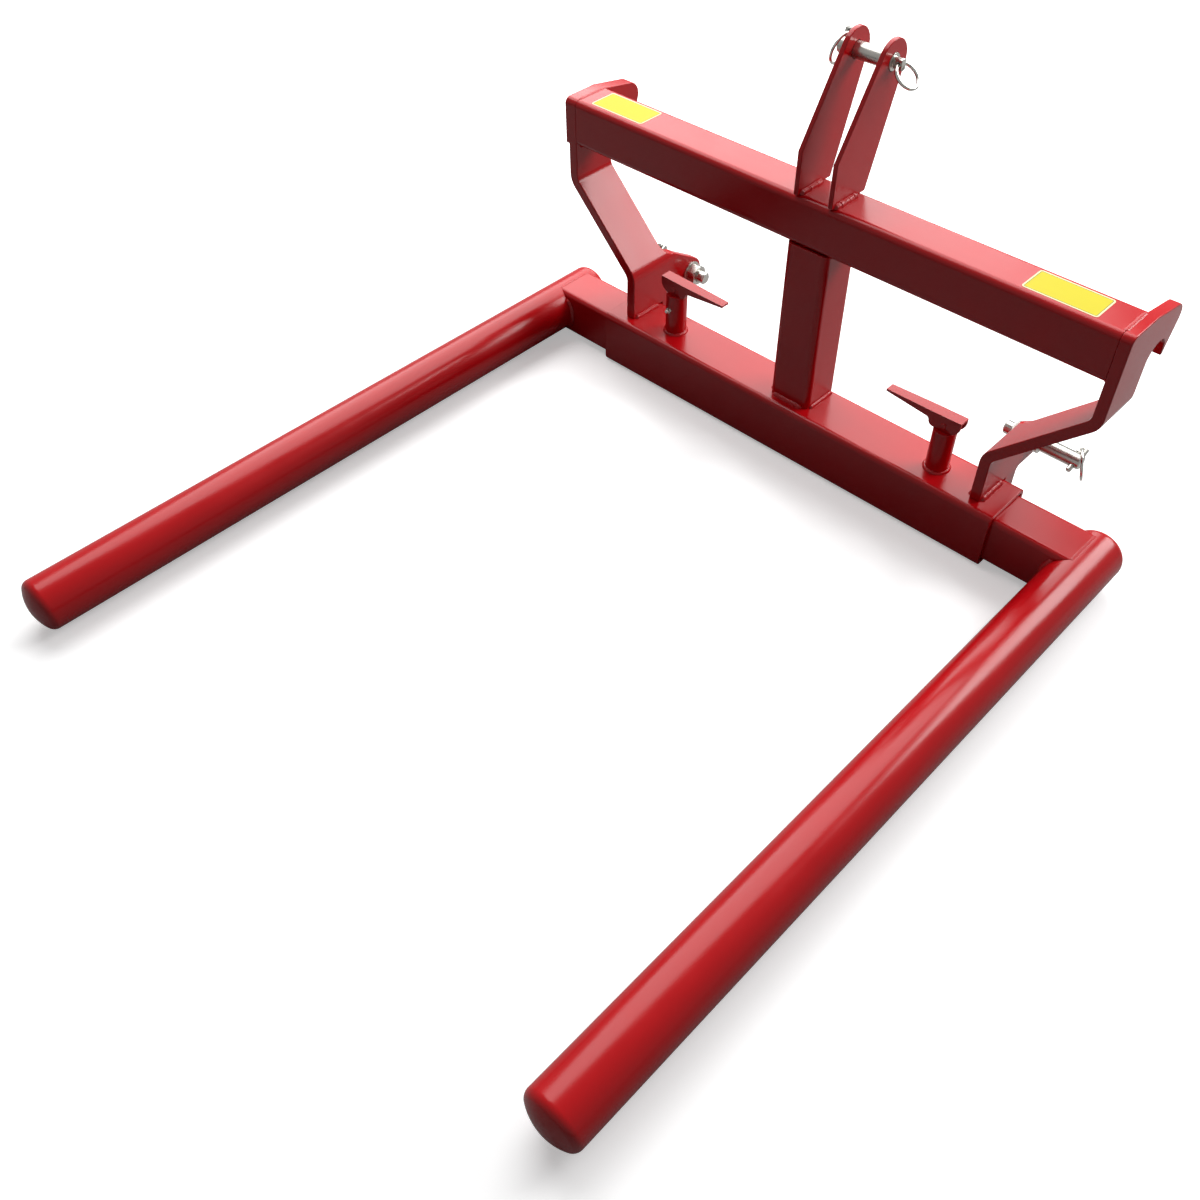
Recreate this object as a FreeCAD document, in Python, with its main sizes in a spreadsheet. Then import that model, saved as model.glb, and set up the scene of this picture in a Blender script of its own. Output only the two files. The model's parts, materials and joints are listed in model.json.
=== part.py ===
"""Tractor bale carrier with two round arms that slide in and out of a square beam.

A welded frame (lower beam, post, upper beam, two bent side plates with hooks, two top
link ears) carries a round tube arm on each side. Each arm's square inner tube runs in
the lower beam, and a spring bolt with a cam lever drops through the beam into a row of
index holes in that inner tube. Lower link pins and a top link pin take a category 1 linkage.

Frame: X runs along the beams, the arms point along -Y, +Y is the tractor's side, Z is up.
The origin lies on the floor under the middle of the lower beam. Millimetres throughout.
"""

import FreeCAD
import Part

import math
import os

import Sketcher
from FreeCAD import Placement, Rotation, Vector

# name, value in mm (or degrees where the note says so), note
SIZES = [
    ("beam_side", 90, "lower beam: outside width and height"),
    ("beam_wall", 6, "lower beam: wall"),
    ("beam_corner", 9, "lower beam: outside corner radius"),
    ("beam_bore_corner", 3, "lower beam: inside corner radius"),
    ("beam_length", 725, "lower beam: length"),
    ("runner_play", 1.5, "gap all round between the inner tubes and the lower beam's bore"),
    ("inner_wall", 5, "inner tube: wall"),
    ("inner_corner", 8, "inner tube: outside corner radius"),
    ("inner_overlap", 8, "inner tube: length that laps over the round arm before coping"),
    ("arm_outset", 123, "arm: distance of its axis from the lower beam's end at rest"),
    ("arm_diameter", 76.1, "arm: outside diameter"),
    ("arm_wall", 5, "arm: wall"),
    ("arm_length", 1038, "arm: length of the tube without its caps"),
    ("arm_rear", 40, "arm: how far the tube reaches behind the lower beam's middle"),
    ("front_cap_depth", 19, "front cap: height of the dome"),
    ("rear_cap_depth", 15, "rear cap: height of the dome"),
    ("cap_knuckle", 12, "caps: radius of the rounded rim"),
    ("upper_side", 70, "upper beam and post: outside width"),
    ("upper_wall", 5, "upper beam and post: wall"),
    ("upper_corner", 10, "upper beam and post: outside corner radius"),
    ("upper_top", 413, "height of the upper beam's top face"),
    ("plate_thickness", 16, "side plate: thickness"),
    ("plate_depth", 77, "side plate: width of the strip from front to rear"),
    ("plate_inset", 30.5, "side plate: distance of the foot's outer face from the beam's end"),
    ("plate_spread", 122, "side plate: how far the slant steps the head out from the foot"),
    ("plate_bend_height", 164, "side plate: height of the lower bend"),
    ("plate_bend_radius", 16, "side plate: inside radius of the bends"),
    ("head_step", 6, "left side plate: how far its head stands out beyond the strip below"),
    ("heel_depth", 30, "side plate: depth of the heel behind the lower beam"),
    ("heel_bottom", 18, "side plate: height of the heel's lower end"),
    ("heel_corner", 10, "side plate: radius of the heel's lower rear corner"),
    ("heel_armpit", 7, "side plate: radius between the heel and the lobe"),
    ("saddle_height", 22, "side plate: height of the lobe's start above the lower bend"),
    ("saddle_drop", 19, "side plate: fall of the curve between the strip and the lobe"),
    ("saddle_depth", 22, "side plate: depth of that curve"),
    ("hook_radius", 22, "hook: radius of the throat"),
    ("hook_throat_height", 339, "hook: height of the throat's centre"),
    ("hook_lip", 19, "hook: width of the lip behind the throat"),
    ("hook_tip_drop", 13, "hook: how far the tip hangs below the throat's centre"),
    ("hook_tip_back", 4, "hook: how far the tip leans back from the throat"),
    ("hook_flat", 61, "hook: length of the plate's level top"),
    ("hook_drop", 11, "hook: how far its back lies below the plate's top"),
    ("hook_nose", 22, "hook: radius of the upper rear corner"),
    ("lobe_radius", 24, "side plate: radius of the lobe round the lower link pin"),
    ("link_pin_diameter", 22, "lower link pin and top link pin: diameter"),
    ("link_pin_y", 115, "lower link pin: distance behind the lower beam's middle"),
    ("link_pin_z", 115, "lower link pin: height"),
    ("shoulder_length", 9.5, "lower link pin: length of the shoulder outside the side plate"),
    ("link_pin_reach", 62, "lower link pin: length outside the shoulder"),
    ("shoulder_diameter", 31, "lower link pin: diameter of the shoulder"),
    ("stud_diameter", 20, "lower link pin: diameter of the threaded stud"),
    ("stud_tip", 14, "lower link pin: length of stud beyond the nut"),
    ("pin_chamfer", 2, "link pins and bolts: chamfer at their ends"),
    ("nut_width", 30, "nut: width across flats"),
    ("nut_height", 16, "nut: height"),
    ("washer_diameter", 37, "washer: diameter"),
    ("washer_thickness", 3, "washer: thickness"),
    ("ear_gap", 49, "top link ears: distance between them"),
    ("ear_thickness", 7, "top link ear: thickness"),
    ("ear_foot", 73, "top link ear: depth at its foot"),
    ("ear_upright", 60, "top link ear: height of the upright part of its front edge"),
    ("ear_radius", 28, "top link ear: radius of the rounded head"),
    ("top_pin_y", 70, "top link pin: distance behind the lower beam's middle"),
    ("mast_height", 460, "height of the top link pin above the lower link pins"),
    ("top_pin_overhang", 18.5, "top link pin: length beyond the left ear"),
    ("tab_reach", 13, "top link pin: length of the slimmer end beyond the right ear"),
    ("tab_diameter", 15, "top link pin: diameter of the slimmer end"),
    ("tab_width", 9, "top link pin: width over the flats of the slimmer end"),
    ("tab_inset", 6, "top link pin: distance of the pull ring's hole from the right end"),
    ("ring_radius", 17.5, "pull ring: radius of the wire's middle line"),
    ("ring_wire", 5, "pull ring: wire diameter"),
    ("plug_diameter", 8, "lynch pin: diameter of the plug"),
    ("plug_tail", 9, "lynch pin: length of plug beyond the pin that it locks"),
    ("plug_inset", 9.5, "lynch pin: distance of its hole from the end of the pin"),
    ("head_diameter", 15, "lynch pin: diameter of the head"),
    ("head_width", 9, "lynch pin: width of the head along the bail's hole"),
    ("head_height", 10, "lynch pin: height of the head"),
    ("bail_radius", 21, "lynch pin: radius of the bail's middle line"),
    ("bail_wire", 4, "lynch pin: wire diameter of the bail"),
    ("latch_inset", 115.5, "latch: distance of its axis from the lower beam's end"),
    ("housing_diameter", 33.7, "latch housing: outside diameter"),
    ("housing_bore", 24, "latch housing: diameter of the spring chamber"),
    ("housing_height", 68, "latch housing: height"),
    ("housing_roof", 8, "latch housing: thickness of the roof"),
    ("bolt_diameter", 20, "latch bolt: diameter"),
    ("bolt_reach", 5, "latch bolt: how far it passes the inner tube's upper wall"),
    ("bolt_lift", 16, "latch bolt: travel when the lever is raised"),
    ("collar_rise", 8, "latch bolt: height of the spring collar above the lower beam"),
    ("collar_height", 3, "latch bolt: height of the spring collar"),
    ("stem_diameter", 12, "latch bolt: diameter of the stem"),
    ("pivot_diameter", 6, "lever pivot: diameter"),
    ("pivot_head", 9, "lever pivot: diameter of its heads"),
    ("rivet_head", 1.6, "lever pivot: height of its heads"),
    ("lever_width", 18.5, "lever: width over the cheeks"),
    ("lever_tip_width", 15, "lever: width at the tip of the handle"),
    ("lever_wall", 2.8, "lever: sheet thickness"),
    ("lever_reach", 97, "lever: length of the handle from the pivot"),
    ("lever_heel", 25, "lever: distance of the short end from the pivot"),
    ("lever_lobe", 24, "lever: reach of the cheek under the handle"),
    ("lever_top", 15.6, "lever: height of its back above the pivot"),
    ("lever_tip_height", 3.5, "lever: height of the handle's tip"),
    ("index_pitch", 35, "distance between the index holes along an inner tube"),
    ("index_inward", 2, "index holes on the arm's side of the one in use, for sliding in"),
    ("index_outward", 4, "index holes on the other side of the one in use, for sliding out"),
    ("index_margin", 27, "distance from the inner tube's end to its first index hole"),
    ("index_play", 1, "gap all round between the bolt and an index hole"),
    ("spring_wire", 2.2, "latch spring: wire diameter"),
    ("spring_turns", 7, "latch spring: number of turns"),
    ("nipple_height", 45, "grease nipple: height above the lower beam"),
    ("nipple_hex", 8, "grease nipple: width across flats"),
    ("label_length", 100, "label: length"),
    ("label_width", 48, "label: width"),
    ("label_thickness", 0.3, "label: thickness"),
    ("label_left", 366, "left label: distance of its centre from the middle"),
    ("label_right", 352, "right label: distance of its centre from the middle"),
    ("running_fit", 0.08, "radial clearance of a shaft that turns or slides in a bore"),
    ("cam_play", 0.35, "gap between the lever's flat and the housing's top"),
    ("loose_fit", 0.3, "gap between neighbouring pieces that move past each other"),
    ("ring_fit", 0.75, "radial clearance of a ring's wire in its hole"),
]
# name, formula over the sizes above, note
DERIVED = [
    ("inner_side", "beam_side - 2 * beam_wall - 2 * runner_play", "inner tube: outside width"),
    ("arm_x", "beam_length / 2 + arm_outset", "arm: distance of its axis from the middle"),
    ("latch_x", "beam_length / 2 - latch_inset", "latch: distance of its axis from the middle"),
    ("foot_face", "beam_length / 2 - plate_inset", "side plate: outer face of the foot"),
    ("plate_foot", "foot_face - plate_thickness", "side plate: inner face of the foot"),
    ("plate_head", "plate_foot + plate_spread", "side plate: inner face of the head"),
    ("shoulder_x", "foot_face + shoulder_length", "lower link pin: place of the shoulder"),
    ("inner_start", "latch_x - index_outward * index_pitch - index_margin",
     "inner tube: distance of its inner end from the middle at rest"),
    ("stud_length", "plate_thickness + washer_thickness + nut_height + stud_tip",
     "lower link pin: length of the stud"),
    ("ear_face", "ear_gap / 2 + ear_thickness", "outer face of the top link ears"),
    ("top_pin_length", "2 * ear_face + top_pin_overhang + 1",
     "top link pin: length of the full bar"),
    ("top_pin_z", "link_pin_z + mast_height", "top link pin: height"),
    ("housing_top", "beam_side + housing_height", "height of the latch housing's top"),
    ("pivot_drop", "lever_heel - bolt_lift", "lever: height of the pivot over its flat"),
    ("pivot_z", "housing_top + cam_play + pivot_drop", "height of the lever's pivot"),
    ("bolt_tip_z", "beam_side / 2 + inner_side / 2 - inner_wall - bolt_reach",
     "height of the bolt's tip"),
    ("collar_z", "beam_side + collar_rise", "height of the collar's underside"),
    ("inner_length", "arm_x - inner_overlap - inner_start", "inner tube: length"),
]

doc = FreeCAD.newDocument("bale_carrier")
sheet = doc.addObject("Spreadsheet::Sheet", "sizes")
for row, (name, content, note) in enumerate(SIZES + DERIVED, start=1):
    sheet.set("A%d" % row, name)
    sheet.set("B%d" % row, "=" + content if isinstance(content, str) else str(content))
    sheet.set("C%d" % row, note)
    sheet.setAlias("B%d" % row, name)
doc.recompute()
VALUE = {name: float(sheet.get(name)) for name, content, note in SIZES + DERIVED}

X_AXIS = Vector(1, 0, 0)
Y_AXIS = Vector(0, 1, 0)
Z_AXIS = Vector(0, 0, 1)

# Places that several pieces share, worked out from the sizes above.
BEAM_HALF = VALUE["beam_side"] / 2
ARM_RADIUS = VALUE["arm_diameter"] / 2
UPPER_HALF = VALUE["upper_side"] / 2
UPPER_Y = BEAM_HALF - UPPER_HALF
UPPER_Z = VALUE["upper_top"] - UPPER_HALF
FRONT_Y = UPPER_Y - UPPER_HALF
PLATE_REAR = FRONT_Y + VALUE["plate_depth"]
LINK_END = VALUE["shoulder_x"] + VALUE["link_pin_reach"]

parts = []


def keep(obj, label):
    """Name a finished sub-part and list it for export."""
    obj.Label = label
    parts.append(obj)
    return obj


def bind(obj, **expressions):
    """Tie properties of an object to cells of the sheet."""
    for prop, expression in expressions.items():
        obj.setExpression(prop, expression)


def turned(axis):
    """The rotation that takes +Z to an axis."""
    return Rotation(Z_AXIS, axis)


# ---------------------------------------------------------------- Part primitives


def cylinder(name, radius, height, base, axis=Z_AXIS):
    obj = doc.addObject("Part::Cylinder", name)
    bind(obj, Radius=radius, Height=height)
    obj.Placement = Placement(base, turned(axis))
    return obj


def box(name, length, width, height, corner):
    obj = doc.addObject("Part::Box", name)
    bind(obj, Length=length, Width=width, Height=height)
    obj.Placement = Placement(corner, Rotation())
    return obj


def torus(name, ring, wire, centre, axis):
    obj = doc.addObject("Part::Torus", name)
    bind(obj, Radius1=ring, Radius2=wire)
    obj.Placement = Placement(centre, turned(axis))
    return obj


def sphere(name, radius, centre):
    obj = doc.addObject("Part::Sphere", name)
    bind(obj, Radius=radius)
    obj.Placement = Placement(centre, Rotation())
    return obj


def slab(name, sizes, centre, along, across, up):
    """A box centred on a point, with its length, width and height along three axes."""
    obj = doc.addObject("Part::Box", name)
    bind(obj, Length=sizes[0], Width=sizes[1], Height=sizes[2])
    doc.recompute()
    middle = (along * float(obj.Length) + across * float(obj.Width) + up * float(obj.Height)) / 2
    obj.Placement = Placement(centre - middle, Rotation(along, across, up, "ZXY"))
    return obj


def cone(name, radius1, radius2, height, base, axis):
    obj = doc.addObject("Part::Cone", name)
    bind(obj, Radius1=radius1, Radius2=radius2, Height=height)
    obj.Placement = Placement(base, turned(axis))
    return obj


def hexagon(name, flats, height, base, axis):
    obj = doc.addObject("Part::Prism", name)
    obj.Polygon = 6
    bind(obj, Circumradius="%s / (2 * cos(30))" % flats, Height=height)
    obj.Placement = Placement(base, turned(axis))
    return obj


def fused(name, shapes):
    obj = doc.addObject("Part::MultiFuse", name)
    obj.Shapes = shapes
    return obj


def common(name, shapes):
    obj = doc.addObject("Part::MultiCommon", name)
    obj.Shapes = shapes
    return obj


def cut(name, base, *tools):
    for n, tool in enumerate(tools):
        obj = doc.addObject("Part::Cut", "%s_cut%d" % (name, n))
        obj.Base = base
        obj.Tool = tool
        base = obj
    return base


# ---------------------------------------------------------------- PartDesign bodies


def body_with_sketch(name, role, offset=0.0):
    """A body and a sketch on one of its origin planes, moved along the plane's normal."""
    body = doc.addObject("PartDesign::Body", name)
    return body, add_sketch(body, name + "_outline", role, offset)


def add_sketch(body, name, role, offset=0.0):
    sketch = body.newObject("Sketcher::SketchObject", name)
    plane = [f for f in body.Origin.OriginFeatures if f.Role == role][0]
    sketch.AttachmentSupport = [(plane, "")]
    sketch.MapMode = "FlatFace"
    sketch.AttachmentOffset = Placement(Vector(0, 0, offset), Rotation())
    return sketch


def add_circle(sketch, radius, radius_value, x=0.0, y=0.0):
    """A circle whose radius follows the sheet."""
    edge = sketch.addGeometry(Part.Circle(Vector(x, y, 0), Z_AXIS, radius_value), False)
    index = sketch.addConstraint(Sketcher.Constraint("Radius", edge, radius_value))
    sketch.setExpression("Constraints[%d]" % index, radius)


def add_rounded_square(sketch, half, corner, side_expression, corner_expression):
    """A centred square with rounded corners, fully tied to the sheet."""
    flat = half - corner
    ends = [((-flat, -half), (flat, -half)), ((half, -flat), (half, flat)),
            ((flat, half), (-flat, half)), ((-half, flat), (-half, -flat))]
    centres = [(flat, -flat), (flat, flat), (-flat, flat), (-flat, -flat)]
    lines = []
    arcs = []
    for start, end in ends:
        segment = Part.LineSegment(Vector(*start, 0), Vector(*end, 0))
        lines.append(sketch.addGeometry(segment, False))
    for quarter, (x, y) in enumerate(centres):
        circle = Part.Circle(Vector(x, y, 0), Z_AXIS, corner)
        start = -math.pi / 2 + quarter * math.pi / 2
        arc = Part.ArcOfCircle(circle, start, start + math.pi / 2)
        arcs.append(sketch.addGeometry(arc, False))
    for n in range(4):
        sketch.addConstraint(Sketcher.Constraint("Tangent", lines[n], 2, arcs[n], 1))
        sketch.addConstraint(Sketcher.Constraint("Tangent", arcs[n], 2, lines[(n + 1) % 4], 1))
    for n in (1, 2, 3):
        sketch.addConstraint(Sketcher.Constraint("Equal", arcs[0], arcs[n]))
    for n, kind in enumerate(("Horizontal", "Vertical", "Horizontal", "Vertical")):
        sketch.addConstraint(Sketcher.Constraint(kind, lines[n]))
    sized = [
        (Sketcher.Constraint("Radius", arcs[0], corner), corner_expression),
        (Sketcher.Constraint("DistanceX", -1, 1, lines[1], 1, half), side_expression),
        (Sketcher.Constraint("DistanceY", -1, 1, lines[2], 1, half), side_expression),
        (Sketcher.Constraint("DistanceX", lines[3], 1, -1, 1, half), side_expression),
        (Sketcher.Constraint("DistanceY", lines[0], 1, -1, 1, half), side_expression),
    ]
    for constraint, expression in sized:
        index = sketch.addConstraint(constraint)
        sketch.setExpression("Constraints[%d]" % index, expression)


def add_outline(sketch, steps):
    """A closed outline: each step is a point, or (middle, end) for an arc to that end."""
    last = steps[-1][1] if isinstance(steps[-1][0], tuple) else steps[-1]
    for step in steps:
        if isinstance(step[0], tuple):
            middle, end = step
            arc = Part.Arc(Vector(*last, 0), Vector(*middle, 0), Vector(*end, 0))
            sketch.addGeometry(arc, False)
        else:
            end = step
            sketch.addGeometry(Part.LineSegment(Vector(*last, 0), Vector(*end, 0)), False)
        last = end


def pad(body, sketch, length, midplane=False, reverse=False):
    feature = body.newObject("PartDesign::Pad", sketch.Name + "_pad")
    feature.Profile = sketch
    feature.Midplane = midplane
    feature.Reversed = reverse
    bind(feature, Length=length)
    sketch.Visibility = False
    return feature


def pocket(body, sketch, length, midplane=False, reverse=False):
    """A pocket that must take material away."""
    doc.recompute()
    before = body.Shape.Volume
    feature = body.newObject("PartDesign::Pocket", sketch.Name + "_pocket")
    feature.Profile = sketch
    feature.Midplane = midplane
    feature.Reversed = reverse
    bind(feature, Length=length)
    doc.recompute()
    if not body.Shape.Volume < before:
        raise RuntimeError("pocket %s cuts nothing" % feature.Name)
    return feature


def arc_point(centre, radius, degrees):
    angle = math.radians(degrees)
    return (centre[0] + radius * math.cos(angle), centre[1] + radius * math.sin(angle))


def tangent_angle(point, centre, radius, side):
    """Direction in degrees, seen from the centre, of the tangent from a point to a circle."""
    dx = point[0] - centre[0]
    dy = point[1] - centre[1]
    reach = math.hypot(dx, dy)
    return math.degrees(math.atan2(dy, dx) + side * math.acos(radius / reach))


# ---------------------------------------------------------------- welded frame


def lower_beam():
    """Square tube with a guide hole in its roof for each latch bolt."""
    body, sketch = body_with_sketch("beam", "YZ_Plane")
    corner = VALUE["beam_corner"]
    bore_corner = VALUE["beam_bore_corner"]
    wall = VALUE["beam_wall"]
    add_rounded_square(sketch, BEAM_HALF, corner, "sizes.beam_side / 2", "sizes.beam_corner")
    add_rounded_square(sketch, BEAM_HALF - wall, bore_corner,
                       "sizes.beam_side / 2 - sizes.beam_wall", "sizes.beam_bore_corner")
    pad(body, sketch, "sizes.beam_length", midplane=True)
    holes = add_sketch(body, "bolt_holes", "XY_Plane", BEAM_HALF)
    radius = VALUE["bolt_diameter"] / 2 + VALUE["running_fit"]
    for side in (-1, 1):
        add_circle(holes, "sizes.bolt_diameter / 2 + sizes.running_fit", radius,
                   side * VALUE["latch_x"])
    pocket(body, holes, "sizes.beam_side / 2")
    body.Placement = Placement(Vector(0, 0, BEAM_HALF), Rotation())
    keep(body, "lower_beam")


def upper_tube(label, role, length, centre):
    """A length of the smaller square tube, centred on a point."""
    body, sketch = body_with_sketch(label + "_body", role)
    wall = VALUE["upper_wall"]
    corner = VALUE["upper_corner"]
    add_rounded_square(sketch, UPPER_HALF, corner, "sizes.upper_side / 2", "sizes.upper_corner")
    add_rounded_square(sketch, UPPER_HALF - wall, corner - wall,
                       "sizes.upper_side / 2 - sizes.upper_wall",
                       "sizes.upper_corner - sizes.upper_wall")
    pad(body, sketch, length, midplane=True)
    body.Placement = Placement(centre, Rotation())
    keep(body, label)


def bent_strip(side):
    """Front view of a side plate: foot, 45 degree slant and head, with round bends."""
    thick = VALUE["plate_thickness"]
    inside = VALUE["plate_bend_radius"]
    outside = inside + thick
    setback = math.tan(math.radians(22.5))
    low = VALUE["plate_bend_height"]
    high = low + VALUE["plate_spread"]
    middle = VALUE["plate_foot"] + thick / 2
    head = middle + VALUE["plate_spread"]
    reach = (inside + thick / 2) * setback
    # centres of the two bends: the lower one lies outside the foot, the upper one inside
    low_centre = (middle + inside + thick / 2, low - reach)
    high_centre = (head - inside - thick / 2, high + reach)
    top = VALUE["upper_top"]
    bottom = 0.0
    steps = [
        (middle + thick / 2, bottom),
        (middle + thick / 2, low_centre[1]),
        (arc_point(low_centre, inside, 157.5), arc_point(low_centre, inside, 135)),
        arc_point(high_centre, outside, -45),
        (arc_point(high_centre, outside, -22.5), arc_point(high_centre, outside, 0)),
        (head + thick / 2, top),
        (head - thick / 2, top),
        (head - thick / 2, high_centre[1]),
        (arc_point(high_centre, inside, -22.5), arc_point(high_centre, inside, -45)),
        arc_point(low_centre, outside, 135),
        (arc_point(low_centre, outside, 157.5), arc_point(low_centre, outside, 180)),
        (middle - thick / 2, bottom),
    ]
    return [mirror_step(step, side) for step in steps]


def mirror_step(step, side):
    if isinstance(step[0], tuple):
        return tuple((side * x, y) for x, y in step)
    return (side * step[0], step[1])


def plate_silhouette():
    """Side view of a side plate: hook at the top, pin lobe and heel at the foot."""
    beam = VALUE["beam_side"]
    top = VALUE["upper_top"]
    corner = VALUE["upper_corner"]
    heel_y = BEAM_HALF + VALUE["heel_depth"]
    heel_z = VALUE["heel_bottom"]
    heel_round = VALUE["heel_corner"]
    heel_centre = (heel_y - heel_round, heel_z + heel_round)
    armpit = VALUE["heel_armpit"]
    pin = (VALUE["link_pin_y"], VALUE["link_pin_z"])
    lobe = VALUE["lobe_radius"]
    armpit_centre = (heel_y + armpit, pin[1] - lobe - armpit)
    hook = VALUE["hook_radius"]
    throat = (PLATE_REAR + hook, VALUE["hook_throat_height"])
    throat_end = throat[0] + hook
    nose = VALUE["hook_nose"]
    nose_centre = (throat_end + VALUE["hook_lip"] - nose, top - VALUE["hook_drop"] - nose)
    shoulder = (FRONT_Y + VALUE["hook_flat"], top)
    nose_start = tangent_angle(shoulder, nose_centre, nose, -1)
    tip = (throat_end + VALUE["hook_tip_back"], throat[1] - VALUE["hook_tip_drop"])
    nose_end = tangent_angle(tip, nose_centre, nose, 1)
    # the lobe's upper edge leaves the strip in a hollow curve
    saddle_top = VALUE["plate_bend_height"] + VALUE["saddle_height"]
    saddle = (PLATE_REAR, saddle_top)
    saddle_low = (PLATE_REAR + VALUE["saddle_depth"], saddle_top - VALUE["saddle_drop"])
    saddle_middle = (PLATE_REAR + VALUE["saddle_depth"] * 0.27,
                     saddle_top - VALUE["saddle_drop"] * 0.6)
    lobe_start = tangent_angle(saddle_low, pin, lobe, -1)
    lobe_end = -100
    front = (FRONT_Y + corner, top - corner)
    return [
        (BEAM_HALF, heel_z),
        (heel_centre[0], heel_z),
        (arc_point(heel_centre, heel_round, -45), (heel_y, heel_centre[1])),
        (heel_y, armpit_centre[1]),
        (arc_point(armpit_centre, armpit, 135), (armpit_centre[0], pin[1] - lobe)),
        arc_point(pin, lobe, lobe_end),
        (arc_point(pin, lobe, (lobe_end + lobe_start) / 2), arc_point(pin, lobe, lobe_start)),
        saddle_low,
        (saddle_middle, saddle),
        (PLATE_REAR, throat[1]),
        (arc_point(throat, hook, 90), (throat_end, throat[1])),
        tip,
        arc_point(nose_centre, nose, nose_end),
        (arc_point(nose_centre, nose, (nose_start + nose_end) / 2),
         arc_point(nose_centre, nose, nose_start)),
        shoulder,
        (front[0], top),
        (arc_point(front, corner, 135), (FRONT_Y, front[1])),
        (FRONT_Y, beam),
        (BEAM_HALF, beam),
    ]


def side_plate(side, label):
    """A flame-cut strip, bent twice, that wraps over the lower beam's rear top corner."""
    strip, front = body_with_sketch(label + "_strip", "XZ_Plane")
    add_outline(front, bent_strip(side))
    pad(strip, front, "4 * sizes.plate_depth", midplane=True)
    if side < 0:
        strip = fused(label + "_stepped", [strip, head_step(label)])
    cutout, profile = body_with_sketch(label + "_profile", "YZ_Plane")
    add_outline(profile, plate_silhouette())
    pad(cutout, profile, "sizes.plate_head + 2 * sizes.plate_thickness", reverse=side < 0)
    blank = common(label + "_blank", [strip, cutout])
    bore = cylinder(label + "_bore", "sizes.stud_diameter / 2 + sizes.running_fit",
                    "3 * sizes.plate_thickness",
                    Vector(side * (VALUE["plate_foot"] - VALUE["plate_thickness"]),
                           VALUE["link_pin_y"], VALUE["link_pin_z"]), X_AXIS * side)
    keep(cut(label, blank, bore), label)


def head_step(label):
    """The left plate's head is thicker than its strip, from the upper beam's underside up."""
    outer = VALUE["plate_head"] + VALUE["plate_thickness"] + VALUE["head_step"]
    corner = Vector(-outer, -2 * VALUE["plate_depth"], VALUE["upper_top"] - VALUE["upper_side"])
    return box(label + "_head", "sizes.head_step + sizes.plate_thickness / 2",
               "4 * sizes.plate_depth", "sizes.upper_side", corner)


def top_link_ear(side, label):
    """An upright plate with a round head that carries the top link pin."""
    head = (VALUE["top_pin_y"], VALUE["top_pin_z"])
    radius = VALUE["ear_radius"]
    foot_z = VALUE["upper_top"]
    front_knee = (FRONT_Y, foot_z + VALUE["ear_upright"])
    rear_foot = (FRONT_Y + VALUE["ear_foot"], foot_z)
    front = tangent_angle(front_knee, head, radius, -1)
    rear = tangent_angle(rear_foot, head, radius, 1)
    over = (front % 360 + rear % 360 - 360) / 2
    body, sketch = body_with_sketch(label + "_blank", "YZ_Plane", side * VALUE["ear_gap"] / 2)
    add_outline(sketch, [
        (FRONT_Y, foot_z),
        front_knee,
        arc_point(head, radius, front),
        (arc_point(head, radius, over), arc_point(head, radius, rear)),
        rear_foot,
    ])
    pad(body, sketch, "sizes.ear_thickness", reverse=side < 0)
    bore = cylinder(label + "_bore", "sizes.link_pin_diameter / 2 + sizes.running_fit",
                    "3 * sizes.ear_thickness",
                    Vector(side * (VALUE["ear_gap"] / 2 - VALUE["ear_thickness"]), *head),
                    X_AXIS * side)
    keep(cut(label, body, bore), label)


def label_plate(label, x):
    """A thin self-adhesive label on the upper beam."""
    corner = Vector(x - VALUE["label_length"] / 2, UPPER_Y - VALUE["label_width"] / 2,
                    VALUE["upper_top"])
    keep(box(label + "_sheet", "sizes.label_length", "sizes.label_width",
             "sizes.label_thickness", corner), label)


# ---------------------------------------------------------------- link pins


def lower_link_pin(side, label):
    """Pin with a shoulder outside the side plate and a threaded stud through it."""
    axis = X_AXIS * side
    chamfer = VALUE["pin_chamfer"]
    stud_end = VALUE["foot_face"] - VALUE["stud_length"]

    def at(x):
        return Vector(side * x, VALUE["link_pin_y"], VALUE["link_pin_z"])

    stud = cylinder(label + "_stud", "sizes.stud_diameter / 2",
                    "sizes.stud_length - sizes.pin_chamfer", at(stud_end + chamfer), axis)
    stud_point = cone(label + "_stud_point", "sizes.stud_diameter / 2 - sizes.pin_chamfer",
                      "sizes.stud_diameter / 2", "sizes.pin_chamfer", at(stud_end), axis)
    shoulder = cylinder(label + "_shoulder", "sizes.shoulder_diameter / 2",
                        "sizes.shoulder_length", at(VALUE["foot_face"]), axis)
    shank = cylinder(label + "_shank", "sizes.link_pin_diameter / 2",
                     "sizes.link_pin_reach - sizes.pin_chamfer", at(VALUE["shoulder_x"]), axis)
    shank_point = cone(label + "_shank_point", "sizes.link_pin_diameter / 2",
                       "sizes.link_pin_diameter / 2 - sizes.pin_chamfer",
                       "sizes.pin_chamfer", at(LINK_END - chamfer), axis)
    whole = fused(label + "_turned", [stud, stud_point, shoulder, shank, shank_point])
    hole = plug_hole(label, at(LINK_END - VALUE["plug_inset"]), lower_plug_axis())
    keep(cut(label, whole, hole), label)


def plug_hole(label, centre, axis):
    start = centre - axis * VALUE["link_pin_diameter"]
    return cylinder(label + "_plug_hole", "sizes.plug_diameter / 2 + sizes.running_fit",
                    "2 * sizes.link_pin_diameter", start, axis)


def lower_plug_axis():
    """The lynch pins' heads lie behind and a little above the lower link pins."""
    tilt = math.radians(25)
    return Vector(0, math.cos(tilt), math.sin(tilt))


def top_plug_axis():
    """The top pin's lynch pin is pushed in from above."""
    tilt = math.radians(73)
    return Vector(0, math.cos(tilt), math.sin(tilt))


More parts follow.
